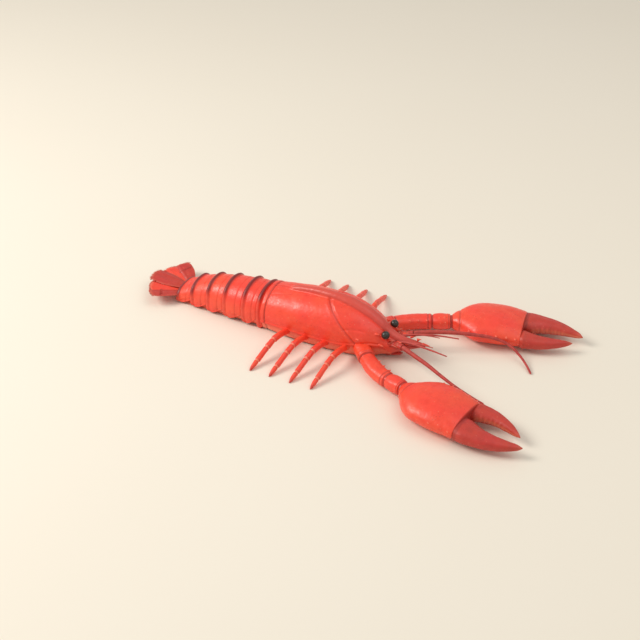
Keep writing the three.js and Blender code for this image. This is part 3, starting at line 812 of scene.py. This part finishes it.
def build_palm(word, side):
    """The claw's palm, with thorns along both edges and a flat end that the fingers come out of."""
    xs = np.concatenate([np.linspace(98.8, 156.5, 118, endpoint=False), np.linspace(156.5, 158.8, 8)])
    grid, turn = claw_rings(PALM_SECTIONS, xs, side, 132)
    x = xs[:, None] + 0 * turn
    upper = angle_from(turn, UPWARD)
    lift = 0.22 * lumps(grid, 13, side) + 0.14 * lumps(grid, 5, 4 + side) + 0.06 * lumps(grid, 2, 8 + side)
    lift = lift - 0.7 * bell(upper, 0.4) * ease(128, 152, x)
    lift = lift + 0.5 * bell(abs(upper) - 1.45, 0.28) * ease(106, 122, x)
    lift = lift - 0.5 * ease(102, 98.8, x) - 0.4 * bell(x - 104.6, 0.8) - 1.3 * ease(157.2, 158.8, x) ** 2
    grid = grid + outward(grid) * lift[:, :, None]
    # the flat end
    last = grid[-1]
    centre = last.mean(0)
    ends = [centre + (last - centre) * k + [0.35 * (1 - k), 0, 0] for k in (0.97, 0.9, 0.75, 0.5)]
    grid = on_table(np.concatenate([grid, np.array(ends)]))
    dark = 0.6 * ease(157.3, 158.6, x) + 0.4 * bell(x - 104.4, 0.6)
    dark = np.concatenate([dark, np.full((len(ends), grid.shape[1]), 0.75)])
    shape = Shape()
    shape.skin(grid, np.clip(dark, 0, 1), 0.0)
    # thorns along the inner and outer edges
    reach, half, high, middle, angle = (c[:, 0] for c in table_at(PALM_SECTIONS, PALM_THORNS))
    for k, at in enumerate(PALM_THORNS):
        a = math.radians(angle[k])
        ahead, out = half[k] * math.sin(a), half[k] * math.cos(a)
        inner = np.array([at + ahead * 0.96, side * (reach[k] - out * 0.96), middle[k] + high[k] * 0.3])
        spine(shape, inner, (0.55, -side * 0.9, 0.28), 2.5 - 0.12 * k, 1.35)
        outer = np.array([at - ahead * 0.97, side * (reach[k] + out * 0.97), middle[k] + high[k] * 0.22])
        if k % 2:
            spine(shape, outer, (0.6, side * 0.9, 0.2), 1.6, 1.2)
    shape.build(f"claw_palm_{word}", shell)


def build_fixed_finger(word, side):
    """The palm's own finger, with blunt teeth and a groove along it."""
    xs = np.concatenate([np.linspace(152, 200, 112, endpoint=False), np.linspace(200, 207, 26)])
    grid, turn = claw_rings(FINGER_SECTIONS, xs, side, 72)
    bite = teeth(xs, turn, math.pi, [
        (164, 0.6, 1.4), (168.2, 0.9, 1.5), (172.6, 1.0, 1.6), (177.2, 0.8, 1.3),
        (181.2, 0.6, 1.1), (184.8, 0.5, 1.0), (188.2, 0.5, 0.9), (191.6, 0.4, 0.9)])
    lift = bite + 0.14 * lumps(grid, 5, 2 + side) + 0.05 * lumps(grid, 1.8, 3 + side)
    upper = angle_from(turn, UPWARD)
    groove = 0.3 * bell(upper + 0.3, 0.22) * ease(160, 170, xs)[:, None] * ease(203, 190, xs)[:, None]
    lift = lift * ease(206, 200, xs)[:, None] - groove
    grid = grid + outward(grid) * lift[:, :, None]
    pale = 0.5 * bell(angle_from(turn, math.pi), 0.3) * ease(160, 166, xs)[:, None]
    pale = pale + 0.25 * ease(200, 206, xs)[:, None]
    finger = Shape()
    finger.skin(grid, 0.3 * ease(159.6, 158.7, xs)[:, None] + 0 * turn, pale)
    finger.build(f"fixed_finger_{word}", dark_shell, [f"palm_{word}"])


def build_moving_finger(word, side):
    """The finger that moves on a live lobster, shorter and curved inward."""
    xs = np.concatenate([np.linspace(152, 195, 104, endpoint=False), np.linspace(195, 201.2, 26)])
    grid, turn = claw_rings(DACTYL_SECTIONS, xs, side, 72)
    bite = teeth(xs, turn, 0.0, [
        (164.6, 0.6, 1.4), (169, 0.8, 1.5), (173.4, 0.8, 1.5), (177.8, 0.6, 1.2),
        (181.8, 0.5, 1.0), (185.4, 0.5, 0.9), (189, 0.4, 0.9)])
    lift = bite + 0.14 * lumps(grid, 5, 6 + side) + 0.05 * lumps(grid, 1.8, 7 + side)
    lift = lift * ease(200.5, 196, xs)[:, None]
    upper = angle_from(turn, UPWARD)
    lift = lift - 0.3 * bell(upper - 0.3, 0.22) * ease(162, 170, xs)[:, None] * ease(197, 186, xs)[:, None]
    lift = lift - 0.7 * ease(161.6, 158.8, xs)[:, None] + 0.35 * bell(xs - 163, 1.2)[:, None]
    grid = grid + outward(grid) * lift[:, :, None]
    pale = 0.5 * bell(angle_from(turn, 0.0), 0.3) * ease(160, 166, xs)[:, None]
    pale = pale + 0.25 * ease(195, 200, xs)[:, None]
    mover = Shape()
    mover.skin(grid, 0.45 * ease(160.2, 158.9, xs)[:, None] + 0 * turn, pale)
    mover.build(f"moving_finger_{word}", dark_shell, [f"dactyl_{word}"])


# ---- the head ----------------------------------------------------------------------------
def build_eye(word, side):
    """A round black eye, and the stalk that it sits on."""
    lat = np.linspace(-math.pi / 2 + 0.02, math.pi / 2 - 0.02, 36)
    lon = np.linspace(0, 2 * math.pi, 48, endpoint=False)
    level = np.cos(lat)[:, None]
    ball = np.stack([level * np.cos(lon), level * np.sin(lon), np.sin(lat)[:, None] + 0 * lon], 2)
    eye = Shape()
    eye.skin(ball * EYE_RADIUS * [1.0, 1.0, 0.97] + EYE * [1, side, 1])
    eye.build(f"eyeball_{word}", eye_black, [f"eye_{word}"])
    line = line_through([(57, side * 6.0, 14), (60.2, side * 7.6, 18.4), (62.2, side * 8.9, 21.4)], 40)
    t = np.linspace(0, 1, 40)
    radius = 2.5 + 0.75 * ease(0.3, 0.9, t) - 0.25 * bell(t - 0.55, 0.06) - 0.4 * ease(0.93, 1, t)
    stalk = Shape()
    dark = np.clip(0.5 * bell(t - 0.55, 0.06) + 0.3 * ease(0.9, 1, t), 0, 1)
    stalk.skin(tube_rings(line, radius, radius, 28), dark[:, None], 0.0)
    stalk.build(f"eye_stem_{word}", shell, [f"eyestalk_{word}"])


def build_antenna(word, side):
    """The long feeler: a thick base in three segments, then a ringed lash."""
    line = line_through([(62, side * 6.4, 12), (70, side * 8, 15), (79.6, side * 11.4, 16.9)], 110)
    t = np.linspace(0, 1, 110)
    size, soft = jointed(t, [0, 0.42, 0.72, 1.0], 0.16, 0.3, 0.025)
    radius = (3.5 - 1.1 * t) * size
    base = Shape()
    rings = tube_rings(line, radius, radius * 0.96, 30)
    rings = rings + outward(rings) * (0.12 * lumps(rings, 2.2, side))[:, :, None]
    base.skin(rings, 0.3 * ease(0.95, 1, t)[:, None], (0.6 * soft)[:, None])
    spine(base, (70, side * 10.4, 15.4), (1, side * 0.5, 0.2), 5.2, 1.3)
    spine(base, (66, side * 9.6, 15.6), (1, side * 0.3, 0.5), 2.6, 1.1)
    base.build(f"feeler_base_{word}", dark_shell, [f"antenna_base_{word}"])
    path = [(x, side * y, z) for x, y, z in ANTENNA_START + ANTENNA_ENDS[word]]
    rows = 560
    line = line_through(path, rows)
    t = np.linspace(0, 1, rows)
    ringed = np.mod(t * 140, 1)
    radius = (2.05 - 1.2 * t) * (1 + 0.11 * (ringed - 0.5))
    radius[-6:] *= np.linspace(0.9, 0.2, 6)
    lash = Shape()
    bands = (0.5 * ease(0.75, 1.0, ringed))[:, None]
    lash.skin(tube_rings(line, radius, radius, 14), bands, (0.12 * (1 - t))[:, None])
    lash.build(f"feeler_{word}", feeler, [f"antenna_{word}"])


def build_antennule(word, side):
    """The short feeler, two lashes that start as one."""
    small = Shape()
    for spread, reach, thick in ((0.0, 1.0, 1.0), (1.0, 0.72, 0.72)):
        points = [(68, side * 3.9, 15.2), (84, side * (6.9 - 0.6 * spread), 19.6 + 0.4 * spread),
                  (102, side * (10.8 - 3.2 * spread), 21.8 + 0.3 * spread),
                  (119.3, side * (13.7 - 6 * spread), 22.2 - 0.8 * spread)]
        rows = 300
        line = line_through(points, rows)[: int(rows * reach)]
        t = np.linspace(0, 1, len(line))
        ringed = np.mod(t * 62 * reach, 1)
        radius = thick * (1.3 - 0.8 * t) * (1 + 0.12 * (ringed - 0.5))
        small.skin(tube_rings(line, radius, radius, 12), (0.45 * ease(0.75, 1, ringed))[:, None], 0.1)
    small.build(f"short_feeler_{word}", feeler, [f"antennule_{word}"])


def build_mouth_leg(word, side):
    """The short leg under the beak, with bristles along its inner side."""
    path = [(42, side * 9.2, 2.6), (58, side * 7, 3.0), (70, side * 5, 3.6), (77, side * 4, 5.8)]
    line = line_through(path, 120)
    t = np.linspace(0, 1, 120)
    size, soft = jointed(t, [0, 0.4, 0.7, 1.0], 0.14, 0.28, 0.02)
    radius = (2.5 - 1.3 * t) * size
    radius[-8:] *= np.linspace(0.95, 0.25, 8)
    rings = on_table(tube_rings(line, radius, radius * 0.95, 24))
    mouth = Shape()
    mouth.skin(rings, 0.0, (0.5 * soft)[:, None])
    for k in range(44):
        here = line[20 + 2 * k]
        lean = 0.25 * math.sin(k * 2.4)
        start = here + np.array([0, -side * 1.4, 0.2])
        spine(mouth, start, (0.8, -side * 0.8, lean), 1.9, 0.14, 0.1, 0.6, 4)
    mouth.build(f"mouth_limb_{word}", dark_shell, [f"mouth_leg_{word}"])


# ---- assembly ----------------------------------------------------------------------------
build_carapace()
for number in range(1, 7):
    build_tail_ring(number)
build_blade("telson_plate", "telson", dark_shell, root=(-139.4, 0, 8.8), turn=0, tilt=0.11,
            roll=0, length=32.6, width=18.4, thick=2.2, side=1, kind="telson")
for word, side in SIDES:
    build_blade(f"fan_inner_{word}", f"uropod_inner_{word}", shell, root=(-139, side * 5, 5.0),
                turn=-side * 0.33, tilt=0.19, roll=side * 0.05, length=29.5, width=17.6, thick=2,
                side=side, kind="inner")
    build_blade(f"fan_outer_{word}", f"uropod_outer_{word}", dark_shell,
                root=(-138.6, side * 8.2, 6.5), turn=-side * 0.65, tilt=0.14, roll=side * 0.23, length=27.6,
                width=19.6, thick=2, side=side, kind="outer")
    for index in range(len(LEG_ROOTS)):
        build_leg(index, word, side)
    build_arm(word, side)
    build_palm(word, side)
    build_fixed_finger(word, side)
    build_moving_finger(word, side)
    build_eye(word, side)
    build_antenna(word, side)
    build_antennule(word, side)
    build_mouth_leg(word, side)

# ---- floor, light and camera -------------------------------------------------------------
# in metres: the floor's half size, and how far it lies below the part
FLOOR_HALF = 2.4
FLOOR_GAP = 0.0001
floor_z = cad_low.z - FLOOR_GAP
floor_mesh = bpy.data.meshes.new("floor")
corners = [(x * FLOOR_HALF, y * FLOOR_HALF, floor_z) for x, y in ((-1, -1), (1, -1), (1, 1), (-1, 1))]
floor_mesh.from_pydata(corners, [], [(0, 1, 2, 3)])
floor = bpy.data.objects.new("floor", floor_mesh)
bpy.context.scene.collection.objects.link(floor)
floor_paint = Paint("pale_floor")
floor_paint.link(floor_paint.mix(floor_paint.grain(400, 2), tint(240, 231, 214), tint(243, 235, 219)),
                 floor_paint.shader.inputs["Base Color"])
floor_paint.shader.inputs["Roughness"].default_value = 0.7
floor_mesh.materials.append(floor_paint.material)


def area_light(name, place, size, power, colour):
    """A round lamp that faces the part, with its place and size in metres and its power in watts."""
    data = bpy.data.lights.new(name, "AREA")
    data.shape, data.size, data.energy, data.color = "DISK", size, power, colour
    lamp = bpy.data.objects.new(name, data)
    lamp.location = place
    lamp.rotation_mode = "QUATERNION"
    lamp.rotation_quaternion = (-Vector(place)).to_track_quat("-Z", "Y")
    bpy.context.scene.collection.objects.link(lamp)


area_light("key_light", place=(-1.05, -0.5, 1.0), size=0.7, power=14.0, colour=(1.0, 0.97, 0.93))
area_light("fill_light", place=(0.7, 0.2, 1.3), size=1.3, power=4.0, colour=(1, 1, 1))
world = bpy.data.worlds.new("studio")
bpy.context.scene.world = world
world.use_nodes = True
sky = world.node_tree.nodes["Background"]
sky.inputs["Color"].default_value = (1.0, 0.985, 0.96, 1)
sky.inputs["Strength"].default_value = 0.54
bpy.context.scene.view_settings.view_transform = "Standard"

# the camera's place in metres, the way it looks, its field of view in degrees and its film in mm
CAMERA_PLACE = (0.3566, -0.7586, 0.600)
CAMERA_AIM = (-0.3656, 0.7358, -0.5701)
FIELD_OF_VIEW = 30.0
SENSOR_WIDTH = 36
camera_data = bpy.data.cameras.new("camera")
camera_data.sensor_width = SENSOR_WIDTH
camera_data.lens = SENSOR_WIDTH / 2 / math.tan(math.radians(FIELD_OF_VIEW / 2))
camera_data.clip_start, camera_data.clip_end = 0.01, 20
camera = bpy.data.objects.new("camera", camera_data)
camera.location = CAMERA_PLACE
camera.rotation_mode = "QUATERNION"
camera.rotation_quaternion = Vector(CAMERA_AIM).to_track_quat("-Z", "Y")
bpy.context.scene.collection.objects.link(camera)
bpy.context.scene.camera = camera
